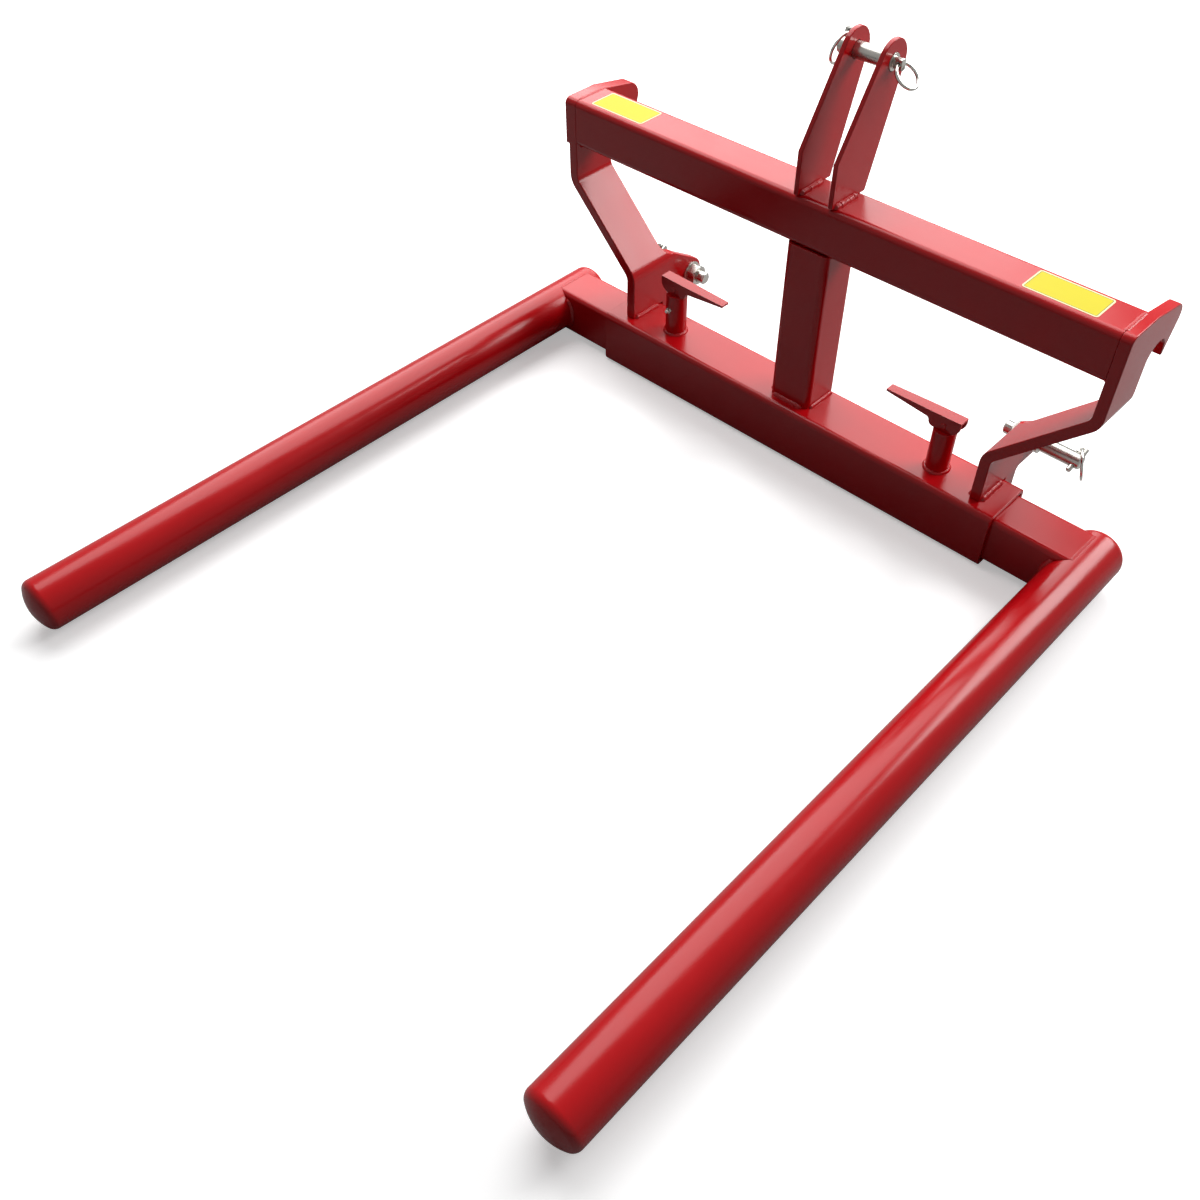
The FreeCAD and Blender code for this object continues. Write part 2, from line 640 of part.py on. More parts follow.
def fasteners(side, name):
    """Washer and nut on the inner face of a side plate."""
    axis = X_AXIS * -side
    y, z = VALUE["link_pin_y"], VALUE["link_pin_z"]
    bore = "sizes.stud_diameter / 2 + sizes.running_fit"
    face = Vector(side * VALUE["plate_foot"], y, z)
    disc = cylinder(name + "_washer_disc", "sizes.washer_diameter / 2",
                    "sizes.washer_thickness", face, axis)
    hole = cylinder(name + "_washer_hole", bore, "sizes.washer_thickness", face, axis)
    keep(cut(name + "_washer", disc, hole), name + "_link_washer")
    seat = face + axis * VALUE["washer_thickness"]
    blank = hexagon(name + "_nut_blank", "sizes.nut_width", "sizes.nut_height", seat, axis)
    dome = cone(name + "_nut_dome", "sizes.nut_width / 2 + sizes.nut_height * 1.2",
                "sizes.nut_width / 2 - sizes.nut_height * 0.02", "sizes.nut_height", seat, axis)
    thread = cylinder(name + "_nut_thread", bore, "sizes.nut_height", seat, axis)
    chamfered = common(name + "_nut_chamfered", [blank, dome])
    keep(cut(name + "_nut", chamfered, thread), name + "_link_nut")


def lynch_pin(name, centre, plug_axis, outward, lean):
    """Plug with a drilled head, and the wire bail that snaps over the pin's end."""
    seat = VALUE["link_pin_diameter"] / 2 + VALUE["loose_fit"]
    tail = VALUE["link_pin_diameter"] / 2 + VALUE["plug_tail"]
    hinge_axis = outward.cross(plug_axis)
    hinge = centre + plug_axis * (seat + VALUE["head_height"] / 2)
    shank = cylinder(name + "_shank", "sizes.plug_diameter / 2",
                     "sizes.link_pin_diameter + sizes.plug_tail + sizes.loose_fit"
                     " - sizes.pin_chamfer",
                     centre - plug_axis * (tail - VALUE["pin_chamfer"]), plug_axis)
    point = cone(name + "_point", "sizes.plug_diameter / 2 - sizes.pin_chamfer / 2",
                 "sizes.plug_diameter / 2", "sizes.pin_chamfer",
                 centre - plug_axis * tail, plug_axis)
    drum = cylinder(name + "_drum", "sizes.head_diameter / 2", "sizes.head_height",
                    centre + plug_axis * seat, plug_axis)
    block = slab(name + "_block", ("2 * sizes.head_diameter", "sizes.head_width",
                                   "2 * sizes.head_height"),
                 hinge, outward, hinge_axis * -1, plug_axis)
    head = common(name + "_head", [drum, block])
    hole = cylinder(name + "_bail_hole", "sizes.bail_wire / 2 + sizes.ring_fit",
                    "2 * sizes.head_width", hinge - hinge_axis * VALUE["head_width"],
                    hinge_axis)
    keep(cut(name + "_plug", fused(name + "_blank", [shank, point, head]), hole),
         name + "_lynch_plug")
    angle = math.radians(lean)
    down = outward * math.sin(angle) - plug_axis * math.cos(angle)
    keep(torus(name + "_bail", "sizes.bail_radius", "sizes.bail_wire / 2",
               hinge + down * VALUE["bail_radius"], hinge_axis.cross(down)),
         name + "_lynch_bail")


def top_link_pin():
    """Pin through both ears, with a lynch pin on the left and a pull ring on the right."""
    height = VALUE["top_pin_z"]
    left_end = -VALUE["ear_face"] - VALUE["top_pin_overhang"]
    shoulder = left_end + VALUE["top_pin_length"]
    right_end = shoulder + VALUE["tab_reach"]

    def at(x):
        return Vector(x, VALUE["top_pin_y"], height)

    chamfer = VALUE["pin_chamfer"]
    bar = cylinder("top_pin_bar", "sizes.link_pin_diameter / 2",
                   "sizes.top_pin_length - sizes.pin_chamfer", at(left_end + chamfer), X_AXIS)
    point = cone("top_pin_point", "sizes.link_pin_diameter / 2 - sizes.pin_chamfer",
                 "sizes.link_pin_diameter / 2", "sizes.pin_chamfer", at(left_end), X_AXIS)
    tab = cylinder("top_pin_tab", "sizes.tab_diameter / 2", "sizes.tab_reach",
                   at(shoulder), X_AXIS)
    sides = slab("top_pin_sides", ("2 * sizes.tab_reach", "sizes.tab_width",
                                   "2 * sizes.tab_diameter"),
                 at(shoulder), X_AXIS, Y_AXIS, Z_AXIS)
    whole = fused("top_pin_turned", [bar, point, common("top_pin_flats", [tab, sides])])
    eye = at(right_end - VALUE["tab_inset"])
    hole = cylinder("top_pin_eye", "sizes.ring_wire / 2 + sizes.ring_fit",
                    "2 * sizes.tab_diameter", eye - Y_AXIS * VALUE["tab_diameter"], Y_AXIS)
    plug_at = at(left_end + VALUE["plug_inset"])
    keep(cut("top_pin", whole, hole, plug_hole("top_pin", plug_at, top_plug_axis())),
         "top_link_pin")
    droop = math.radians(40)
    hang = Vector(math.cos(droop), 0, -math.sin(droop))
    keep(torus("pull_ring_wire", "sizes.ring_radius", "sizes.ring_wire / 2",
               eye + hang * VALUE["ring_radius"], hang.cross(Y_AXIS)), "pull_ring")
    lynch_pin("top", plug_at, top_plug_axis(), X_AXIS * -1, 15)


# ---------------------------------------------------------------- latches


def latch(side, name):
    """Spring bolt in a welded housing, raised by a cam lever whose handle points inwards."""
    x = side * VALUE["latch_x"]
    foot = VALUE["beam_side"]
    handle = X_AXIS * -side
    nipple_axis = Y_AXIS * side

    tube = cylinder(name + "_tube", "sizes.housing_diameter / 2", "sizes.housing_height",
                    Vector(x, 0, foot))
    chamber = cylinder(name + "_chamber", "sizes.housing_bore / 2",
                       "sizes.housing_height - sizes.housing_roof", Vector(x, 0, foot))
    guide = cylinder(name + "_guide", "sizes.stem_diameter / 2 + sizes.running_fit",
                     "sizes.housing_height", Vector(x, 0, foot))
    nipple_z = foot + VALUE["nipple_height"]
    port = cylinder(name + "_port", "sizes.nipple_hex / 4", "sizes.housing_diameter / 2",
                    Vector(x, 0, nipple_z), nipple_axis)
    keep(cut(name + "_housing", tube, chamber, guide, port), name + "_latch_housing")

    face = VALUE["housing_diameter"] / 2
    root = Vector(x, 0, nipple_z)
    hex_part = hexagon(name + "_nipple_hex", "sizes.nipple_hex", "sizes.nipple_hex / 2 + 1",
                       root + nipple_axis * (face - 1), nipple_axis)
    neck = cylinder(name + "_nipple_neck", "sizes.nipple_hex / 4", "sizes.nipple_hex",
                    root + nipple_axis * (face - 1), nipple_axis)
    ball = sphere(name + "_nipple_ball", "sizes.nipple_hex * 0.4",
                  root + nipple_axis * (face + VALUE["nipple_hex"] * 0.85))
    shank = cylinder(name + "_nipple_shank", "sizes.nipple_hex / 4 - sizes.running_fit",
                     "sizes.housing_diameter / 2 - sizes.housing_bore / 2",
                     root + nipple_axis * VALUE["housing_bore"] / 2, nipple_axis)
    trim = cylinder(name + "_nipple_trim", "sizes.housing_diameter / 2 ", "sizes.nipple_hex * 2",
                    Vector(x, 0, nipple_z - VALUE["nipple_hex"]))
    outer = cut(name + "_nipple_outer", fused(name + "_nipple_head", [hex_part, neck, ball]), trim)
    keep(fused(name + "_nipple", [outer, shank]), name + "_grease_nipple")

    bolt(name, x)
    spring(name, x)
    lever(side, name, x, handle)


def bolt(name, x):
    """Bolt, spring collar and drilled stem, turned from one bar."""
    chamfer = VALUE["pin_chamfer"]
    tip = VALUE["bolt_tip_z"]
    pivot = Vector(x, 0, VALUE["pivot_z"])
    point = cone(name + "_bolt_point", "sizes.bolt_diameter / 2 - sizes.pin_chamfer",
                 "sizes.bolt_diameter / 2", "sizes.pin_chamfer", Vector(x, 0, tip), Z_AXIS)
    shank = cylinder(name + "_bolt_shank", "sizes.bolt_diameter / 2",
                     "sizes.collar_z - sizes.bolt_tip_z - sizes.pin_chamfer",
                     Vector(x, 0, tip + chamfer))
    collar = cylinder(name + "_bolt_collar", "sizes.housing_bore / 2 - sizes.running_fit",
                      "sizes.collar_height", Vector(x, 0, VALUE["collar_z"]))
    stem = cylinder(name + "_bolt_stem", "sizes.stem_diameter / 2",
                    "sizes.pivot_z - sizes.collar_z", Vector(x, 0, VALUE["collar_z"]))
    crown = sphere(name + "_bolt_crown", "sizes.stem_diameter / 2", pivot)
    whole = fused(name + "_bolt_turned", [point, shank, collar, stem, crown])
    hole = cylinder(name + "_bolt_eye", "sizes.pivot_diameter / 2 + sizes.running_fit",
                    "2 * sizes.stem_diameter", pivot - Y_AXIS * VALUE["stem_diameter"], Y_AXIS)
    keep(cut(name + "_bolt", whole, hole), name + "_latch_bolt")


def spring(name, x):
    """Compression spring on the stem, between the collar and the housing's roof."""
    wire = VALUE["spring_wire"]
    low = VALUE["collar_z"] + VALUE["collar_height"] + wire / 2
    high = VALUE["housing_top"] - VALUE["housing_roof"] - wire / 2
    radius = (VALUE["stem_diameter"] + VALUE["housing_bore"]) / 4
    helix = Part.makeHelix((high - low) / VALUE["spring_turns"], high - low, radius)
    profile = Part.Wire(Part.makeCircle(wire / 2, Vector(radius, 0, 0), Y_AXIS))
    coil = Part.Wire(helix).makePipeShell([profile], True, True)
    obj = doc.addObject("Part::Feature", name + "_spring")
    obj.Shape = coil
    obj.Placement = Placement(Vector(x, 0, low), Rotation())
    keep(obj, name + "_latch_spring")


def lever_side_view(inset):
    """Side view of the lever with its handle towards -X; inset shrinks it to the hollow."""
    top = VALUE["lever_top"] - inset
    heel = VALUE["lever_heel"]
    reach = VALUE["lever_reach"]
    lobe = VALUE["lever_lobe"]
    offset = VALUE["bolt_lift"] / 2
    cam_radius = heel - offset
    cam = (offset, offset)
    round_lobe = 8.0
    lobe_centre = (round_lobe - lobe, round_lobe - VALUE["pivot_drop"])
    tip_top = VALUE["lever_top"] - 3.0
    tip_bottom = tip_top - VALUE["lever_tip_height"]
    root = (-lobe - 5.0, 3.0)
    if inset:
        slope = (VALUE["lever_top"] - tip_top) / (heel + reach)
        return [
            (2 * heel, top),
            (-2 * reach, top - slope * (2 * reach + heel)),
            (-2 * reach, -4 * heel),
            (2 * heel, -4 * heel),
        ]
    return [
        (heel, top),
        (-reach, tip_top),
        (-reach, tip_bottom),
        root,
        (arc_point((-lobe - 5.0, -2.0), 5.0, 45), (-lobe, -2.0)),
        (-lobe, lobe_centre[1]),
        (arc_point(lobe_centre, round_lobe, -135), (lobe_centre[0], -VALUE["pivot_drop"])),
        (cam[0], -VALUE["pivot_drop"]),
        (arc_point(cam, cam_radius, -45), (heel, cam[1])),
    ]


def lever_plan(inset):
    """Plan of the lever: it narrows towards the tip of the handle."""
    wide = VALUE["lever_width"] / 2 - inset
    narrow = VALUE["lever_tip_width"] / 2 - inset
    heel = VALUE["lever_heel"]
    lobe = VALUE["lever_lobe"]
    reach = VALUE["lever_reach"]
    over = 1.0
    return [
        (heel + over, -wide),
        (heel + over, wide),
        (-lobe, wide),
        (-reach - over, narrow),
        (-reach - over, -narrow),
        (-lobe, -wide),
    ]


def lever(side, name, x, handle):
    """Folded sheet cam lever on a riveted pivot, with open ends and an open underside."""
    pivot = Vector(x, 0, VALUE["pivot_z"])
    pieces = []
    for kind, inset in (("skin", 0.0), ("hollow", VALUE["lever_wall"])):
        sides, view = body_with_sketch("%s_%s_side" % (name, kind), "XZ_Plane")
        add_outline(view, lever_side_view(inset))
        pad(sides, view, "4 * sizes.lever_width", midplane=True)
        plan, outline = body_with_sketch("%s_%s_plan" % (name, kind), "XY_Plane")
        add_outline(outline, lever_plan(inset))
        pad(plan, outline, "8 * sizes.lever_heel", midplane=True)
        pieces.append(common("%s_%s" % (name, kind), [sides, plan]))
    hole = cylinder(name + "_lever_hole", "sizes.pivot_diameter / 2 + sizes.running_fit",
                    "2 * sizes.lever_width", Vector(0, -VALUE["lever_width"], 0), Y_AXIS)
    folded = cut(name + "_lever", pieces[0], pieces[1], hole)
    turn = Rotation(Z_AXIS, 0 if side > 0 else 180)
    folded.Placement = Placement(pivot, turn)
    keep(folded, name + "_lever")

    half = VALUE["lever_width"] / 2
    grip = half + VALUE["rivet_head"]
    pin = cylinder(name + "_pivot_shank", "sizes.pivot_diameter / 2",
                   "sizes.lever_width + 2 * sizes.rivet_head", pivot - Y_AXIS * grip, Y_AXIS)
    heads = []
    for end in (-1, 1):
        heads.append(cone("%s_pivot_head_%s" % (name, "ab"[end > 0]), "sizes.pivot_head / 2",
                          "sizes.pivot_head / 2 - 1", "sizes.rivet_head",
                          pivot + Y_AXIS * end * half, Y_AXIS * end))
    keep(fused(name + "_pivot", [pin] + heads), name + "_lever_pivot")


# ---------------------------------------------------------------- sliding arms


def inner_tube(side, name):
    """Square tube with a row of index holes, coped to fit the round arm."""
    corner = VALUE["inner_corner"]
    wall = VALUE["inner_wall"]
    half = VALUE["inner_side"] / 2
    middle = VALUE["inner_start"] + VALUE["inner_length"] / 2
    body, sketch = body_with_sketch(name + "_runner", "YZ_Plane")
    add_rounded_square(sketch, half, corner, "sizes.inner_side / 2", "sizes.inner_corner")
    add_rounded_square(sketch, half - wall, corner - wall,
                       "sizes.inner_side / 2 - sizes.inner_wall",
                       "sizes.inner_corner - sizes.inner_wall")
    pad(body, sketch, "sizes.inner_length", midplane=True)
    holes = add_sketch(body, name + "_index", "XY_Plane", half)
    radius = VALUE["bolt_diameter"] / 2 + VALUE["index_play"]
    first = -int(VALUE["index_outward"])
    last = int(VALUE["index_inward"])
    for step in range(first, last + 1):
        x = VALUE["latch_x"] + step * VALUE["index_pitch"] - middle
        add_circle(holes, "sizes.bolt_diameter / 2 + sizes.index_play", radius, side * x)
    pocket(body, holes, "sizes.inner_side / 2")
    body.Placement = Placement(Vector(side * middle, 0, BEAM_HALF), Rotation())
    cope = cylinder(name + "_cope", "sizes.arm_diameter / 2 + sizes.running_fit",
                    "2 * sizes.beam_side",
                    Vector(side * VALUE["arm_x"], VALUE["beam_side"], BEAM_HALF), Y_AXIS * -1)
    keep(cut(name + "_inner", body, cope), name + "_inner_tube")


def arm_tube(side, name):
    """Round tube that lies under the bale, with a pressed cap on each end."""
    body, sketch = body_with_sketch(name + "_arm_body", "XZ_Plane")
    add_circle(sketch, "sizes.arm_diameter / 2", ARM_RADIUS)
    add_circle(sketch, "sizes.arm_diameter / 2 - sizes.arm_wall",
               ARM_RADIUS - VALUE["arm_wall"])
    pad(body, sketch, "sizes.arm_length")
    body.Placement = Placement(Vector(side * VALUE["arm_x"], VALUE["arm_rear"], BEAM_HALF), Rotation())
    keep(body, name + "_arm_tube")
    front = VALUE["arm_rear"] - VALUE["arm_length"]
    end_cap(name + "_front_cap", VALUE["front_cap_depth"],
            Vector(side * VALUE["arm_x"], front, BEAM_HALF), Y_AXIS * -1)
    end_cap(name + "_rear_cap", VALUE["rear_cap_depth"],
            Vector(side * VALUE["arm_x"], VALUE["arm_rear"], BEAM_HALF), Y_AXIS)


def end_cap(label, depth, seat, axis):
    """Dished cap: a knuckle and a crown arc, of the tube's own wall thickness."""
    wall = VALUE["arm_wall"]
    knuckle = VALUE["cap_knuckle"]
    rim = ARM_RADIUS - knuckle
    crown = (rim ** 2 + depth ** 2 - knuckle ** 2) / (2 * (depth - knuckle))
    crown_centre = (0.0, depth - crown)
    join = math.degrees(math.atan2(-crown_centre[1], rim))
    middle = (join + 90) / 2
    inner_knuckle = knuckle - wall
    inner_crown = crown - wall
    body, sketch = body_with_sketch(label + "_dish", "XZ_Plane")
    add_outline(sketch, [
        (ARM_RADIUS, 0.0),
        (arc_point((rim, 0.0), knuckle, join / 2), arc_point((rim, 0.0), knuckle, join)),
        (arc_point(crown_centre, crown, middle), (0.0, depth)),
        (0.0, depth - wall),
        (arc_point(crown_centre, inner_crown, middle),
         arc_point((rim, 0.0), inner_knuckle, join)),
        (arc_point((rim, 0.0), inner_knuckle, join / 2), (ARM_RADIUS - wall, 0.0)),
    ])
    turn = body.newObject("PartDesign::Revolution", label + "_turn")
    turn.Profile = sketch
    turn.ReferenceAxis = (sketch, ["V_Axis"])
    turn.Angle = 360
    sketch.Visibility = False
    body.Placement = Placement(seat, turned(axis))
    keep(body, label)


# ---------------------------------------------------------------- assembly

lower_beam()
upper_tube("upper_beam", "YZ_Plane", "2 * sizes.plate_head",
           Vector(0, UPPER_Y, UPPER_Z))
upper_tube("post", "XY_Plane", "sizes.upper_top - sizes.upper_side - sizes.beam_side",
           Vector(0, UPPER_Y, (VALUE["beam_side"] + VALUE["upper_top"] - VALUE["upper_side"]) / 2))
for side, hand in ((-1, "left"), (1, "right")):
    side_plate(side, hand + "_side_plate")
    top_link_ear(side, hand + "_top_link_ear")
    lower_link_pin(side, hand + "_lower_link_pin")
    fasteners(side, hand)
    lynch_pin(hand, Vector(side * (LINK_END - VALUE["plug_inset"]), VALUE["link_pin_y"],
                           VALUE["link_pin_z"]), lower_plug_axis(), X_AXIS * side, 30)
    latch(side, hand)
    inner_tube(side, hand)
    arm_tube(side, hand)
label_plate("left_label", -VALUE["label_left"])
label_plate("right_label", VALUE["label_right"])
top_link_pin()

doc.recompute()
for obj in doc.Objects:
    if "Invalid" in obj.State or "Error" in obj.State:
        raise RuntimeError("%s failed: %s" % (obj.Name, obj.State))
os.makedirs("parts", exist_ok=True)
for obj in parts:
    if obj.Shape.isNull() or not obj.Shape.isValid():
        raise RuntimeError("%s has no valid shape" % obj.Label)
    obj.Shape.exportStep("parts/%s.step" % obj.Label)
    print("%-24s %12.1f mm3, %d solid" % (obj.Label, obj.Shape.Volume, len(obj.Shape.Solids)))
print(len(parts), "parts")
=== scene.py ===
"""Round bale carrier: painted steel, plated pins, weld beads, plain labels and a studio."""

import json
import math

import bmesh
import bpy
from bpy.props import FloatProperty, FloatVectorProperty, PointerProperty
from bpy.types import Operator, Panel, PropertyGroup
from mathutils import Matrix, Vector, noise

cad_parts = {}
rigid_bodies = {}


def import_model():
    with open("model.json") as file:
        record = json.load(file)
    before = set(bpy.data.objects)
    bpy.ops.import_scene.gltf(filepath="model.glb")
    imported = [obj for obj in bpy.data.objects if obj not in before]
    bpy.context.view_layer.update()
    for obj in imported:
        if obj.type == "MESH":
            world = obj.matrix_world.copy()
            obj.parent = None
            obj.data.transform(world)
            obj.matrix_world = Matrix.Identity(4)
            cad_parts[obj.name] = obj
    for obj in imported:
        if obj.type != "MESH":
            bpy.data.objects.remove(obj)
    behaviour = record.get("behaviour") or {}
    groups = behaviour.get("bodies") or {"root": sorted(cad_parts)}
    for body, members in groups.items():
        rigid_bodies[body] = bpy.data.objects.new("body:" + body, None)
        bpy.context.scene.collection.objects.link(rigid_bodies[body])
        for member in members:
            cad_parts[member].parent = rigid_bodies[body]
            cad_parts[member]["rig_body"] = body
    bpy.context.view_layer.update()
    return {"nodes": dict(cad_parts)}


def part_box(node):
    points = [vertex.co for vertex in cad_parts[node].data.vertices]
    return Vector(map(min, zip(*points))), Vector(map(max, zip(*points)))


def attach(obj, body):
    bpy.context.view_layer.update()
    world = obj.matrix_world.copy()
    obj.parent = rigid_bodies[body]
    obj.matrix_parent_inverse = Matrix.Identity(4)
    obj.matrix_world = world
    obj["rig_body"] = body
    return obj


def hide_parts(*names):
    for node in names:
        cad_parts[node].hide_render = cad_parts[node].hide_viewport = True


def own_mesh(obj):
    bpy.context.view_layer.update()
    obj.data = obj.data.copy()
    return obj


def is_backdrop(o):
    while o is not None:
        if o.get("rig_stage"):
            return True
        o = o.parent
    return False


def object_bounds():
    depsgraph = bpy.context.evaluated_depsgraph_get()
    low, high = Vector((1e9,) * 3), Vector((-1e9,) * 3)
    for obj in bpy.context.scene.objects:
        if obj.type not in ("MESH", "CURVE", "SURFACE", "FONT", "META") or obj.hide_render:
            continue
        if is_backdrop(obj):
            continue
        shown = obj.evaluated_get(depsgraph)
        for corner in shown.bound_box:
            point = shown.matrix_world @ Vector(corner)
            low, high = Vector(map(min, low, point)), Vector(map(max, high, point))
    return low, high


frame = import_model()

bl_info = {
    "name": "Round Bale Carrier",
    "version": (1, 0, 0),
    "blender": (4, 5, 0),
    "location": "View3D > Sidebar > Carrier",
    "description": "Finishes a tractor round bale carrier and sets up its studio",
    "category": "Object",
}

MM = 0.001
SIDES = {"left": -1, "right": 1}
UP = Vector((0, 0, 1))
ACROSS = Vector((1, 0, 0))
BACK = Vector((0, 1, 0))


def linear(hex_colour):
    """Turns an sRGB hex value into linear red, green and blue."""
    channels = [int(hex_colour[i:i + 2], 16) / 255 for i in (0, 2, 4)]
    return [c / 12.92 if c <= 0.04045 else ((c + 0.055) / 1.055) ** 2.4 for c in channels]


def colour(name, description, hex_colour):
    return FloatVectorProperty(name=name, description=description, subtype="COLOR",
                               size=3, min=0.0, max=1.0, default=linear(hex_colour))


def length(name, description, millimetres):
    return FloatProperty(name=name, description=description, unit="LENGTH",
                         subtype="DISTANCE", min=0.0, default=millimetres * MM)


def factor(name, description, value):
    return FloatProperty(name=name, description=description, subtype="FACTOR",
                         min=0.0, max=1.0, default=value)


class CarrierPaint(PropertyGroup):
    red: colour("Red", "Powder coat colour", "BC0811")
    gloss: factor("Roughness", "Roughness of the powder coat", 0.22)
    peel: length("Orange peel", "Spacing of the ripples in the powder coat", 2.2)


class CarrierMetal(PropertyGroup):
    zinc: colour("Zinc", "Colour of the plated pins, nuts and washers", "CFCDC6")
    wire: colour("Wire", "Colour of the bright wire", "D9D8D2")
    spring: colour("Spring steel", "Colour of the latch springs", "6E6A66")
    drawing: length("Drawing lines", "Spacing of the drawn and turned marks", 0.5)


class CarrierLabels(PropertyGroup):
    field: colour("Field", "Colour of the label", "D2C41E")
    edge: colour("Edge", "Colour of the label's edge", "EFE8B8")
    line: colour("Line", "Colour of the thin border line", "2A2410")
    margin: length("Margin", "Distance of the border line from the label's edge", 2.2)
    line_width: length("Line width", "Width of the border line", 0.6)
    corner: length("Corner", "Corner radius of the label", 4.5)


class CarrierEdges(PropertyGroup):
    plate: length("Plate edges", "Rounding of the flame-cut plates", 1.6)
    tube: length("Tube ends", "Rounding of the sawn tube ends", 0.8)
    small: length("Small parts", "Rounding of small turned and pressed parts", 0.5)
    lift: length("Bolt lift", "Travel of the latch bolt, which squeezes its spring", 16.2)
    fold: length("Lever folds", "Outside radius of the lever's folds", 1.2)


class CarrierWelds(PropertyGroup):
    leg: length("Leg", "Leg length of the fillet welds", 6.0)
    ripple: length("Ripple", "Spacing of the ripples in the weld beads", 2.6)


class CarrierStudio(PropertyGroup):
    key: FloatProperty(name="Key light", description="Power of the large softbox",
                       unit="POWER", min=0.0, default=172.0)
    side: FloatProperty(name="Side light", description="Power of the smaller softbox",
                        unit="POWER", min=0.0, default=60.0)
    surround: FloatProperty(name="Surround", description="Strength of the room's light",
                            min=0.0, default=0.13)
    floor: colour("Floor", "Colour of the studio floor", "F4F4F4")


GROUPS = {
    "carrier_paint": CarrierPaint,
    "carrier_metal": CarrierMetal,
    "carrier_labels": CarrierLabels,
    "carrier_edges": CarrierEdges,
    "carrier_welds": CarrierWelds,
    "carrier_studio": CarrierStudio,
}


# ------------------------------------------------------------------ materials
def add(tree, kind, inputs=None, links=None, **settings):
    """Adds a node with its settings, its inputs' values and its links."""
    made = tree.nodes.new(kind)
    for key, value in settings.items():
        setattr(made, key, value)
    for key, value in (inputs or {}).items():
        made.inputs[key].default_value = value
    for key, (source, output) in (links or {}).items():
        tree.links.new(source.outputs[output], made.inputs[key])
    return made


def new_material(name):
    """Starts a material and returns it with its tree and its object coordinates."""
    material = bpy.data.materials.new(name)
    material.use_nodes = True
    tree = material.node_tree
    tree.nodes.clear()
    place = add(tree, "ShaderNodeTexCoord")
    return material, tree, place


def shade(tree, values, links):
    """Joins a Principled shader to the material's output."""
    surface = add(tree, "ShaderNodeBsdfPrincipled", values, links)
    add(tree, "ShaderNodeOutputMaterial", None, {"Surface": (surface, "BSDF")})
    return surface


def tinted(tree, pattern, low, high):
    """Mixes two colours by a pattern."""
    mix = add(tree, "ShaderNodeMix", None, {"Factor": (pattern, "Fac")}, data_type="RGBA")
    mix.inputs[6].default_value = (*low, 1)
    mix.inputs[7].default_value = (*high, 1)
    return mix


def pale_rays(tree):
    """1 for rays that should see the pale background, less for reflections, 0 for the rest."""
    path = add(tree, "ShaderNodeLightPath")
    mirrored = add(tree, "ShaderNodeMath", {1: 0.35}, {0: (path, "Is Glossy Ray")},
                   operation="MULTIPLY")
    first = add(tree, "ShaderNodeMath", None,
                {0: (path, "Is Camera Ray"), 1: (mirrored, "Value")}, operation="MAXIMUM")
    return add(tree, "ShaderNodeMath", None,
               {0: (first, "Value"), 1: (path, "Is Transmission Ray")}, operation="MAXIMUM")


def powder_coated_steel():
    """Sprayed and baked polyester powder on steel: deep red with clear soft-edged reflections."""
    paint = bpy.context.scene.carrier_paint
    material, tree, place = new_material("powder_coated_steel_red")
    red = Vector(paint.red)
    # the film is a little thicker in places, over about 60 mm
    film = add(tree, "ShaderNodeTexNoise", {"Scale": 1 / 0.06, "Detail": 2.0},
               {"Vector": (place, "Object")})
    base = tinted(tree, film, red * 0.93, red * 1.07)
    # gloss varies a little with the film's flow
    gloss = add(tree, "ShaderNodeMapRange",
                {"From Min": 0.3, "From Max": 0.7, "To Min": paint.gloss * 0.85,
                 "To Max": paint.gloss * 1.15}, {"Value": (film, "Fac")})
    # orange peel, ripples about 2 mm apart and a few hundredths deep
    peel = add(tree, "ShaderNodeTexNoise", {"Scale": 1 / paint.peel, "Detail": 1.0},
               {"Vector": (place, "Object")})
    bump = add(tree, "ShaderNodeBump", {"Strength": 0.12, "Distance": 0.08 * MM},
               {"Height": (peel, "Fac")})
    shade(tree, {"IOR": 1.5, "Specular IOR Level": 0.36},
          {"Base Color": (base, 2), "Roughness": (gloss, "Result"), "Normal": (bump, "Normal")})
    return material


def bright_metal(name, shade_colour, rough, stretch, depth):
    """A plated or drawn metal: neutral, with fine marks along or round the piece."""
    metal = bpy.context.scene.carrier_metal
    material, tree, place = new_material(name)
    tone = Vector(shade_colour)
    # uneven plating, patches about 12 mm across
    patch = add(tree, "ShaderNodeTexNoise", {"Scale": 1 / 0.012, "Detail": 3.0},
                {"Vector": (place, "Object")})
    base = tinted(tree, patch, tone * 0.82, tone)
    marks_place = add(tree, "ShaderNodeMapping", {"Scale": stretch},
                      {"Vector": (place, "Object")})
    marks = add(tree, "ShaderNodeTexNoise", {"Scale": 1 / metal.drawing, "Detail": 2.0},
                {"Vector": (marks_place, "Vector")})
    gloss = add(tree, "ShaderNodeMapRange",
                {"From Min": 0.3, "From Max": 0.7, "To Min": rough * 0.8, "To Max": rough * 1.3},
                {"Value": (patch, "Fac")})
    bump = add(tree, "ShaderNodeBump", {"Strength": depth, "Distance": 0.05 * MM},
               {"Height": (marks, "Fac")})
    shade(tree, {"Metallic": 1.0},
          {"Base Color": (base, 2), "Roughness": (gloss, "Result"), "Normal": (bump, "Normal")})
    return material


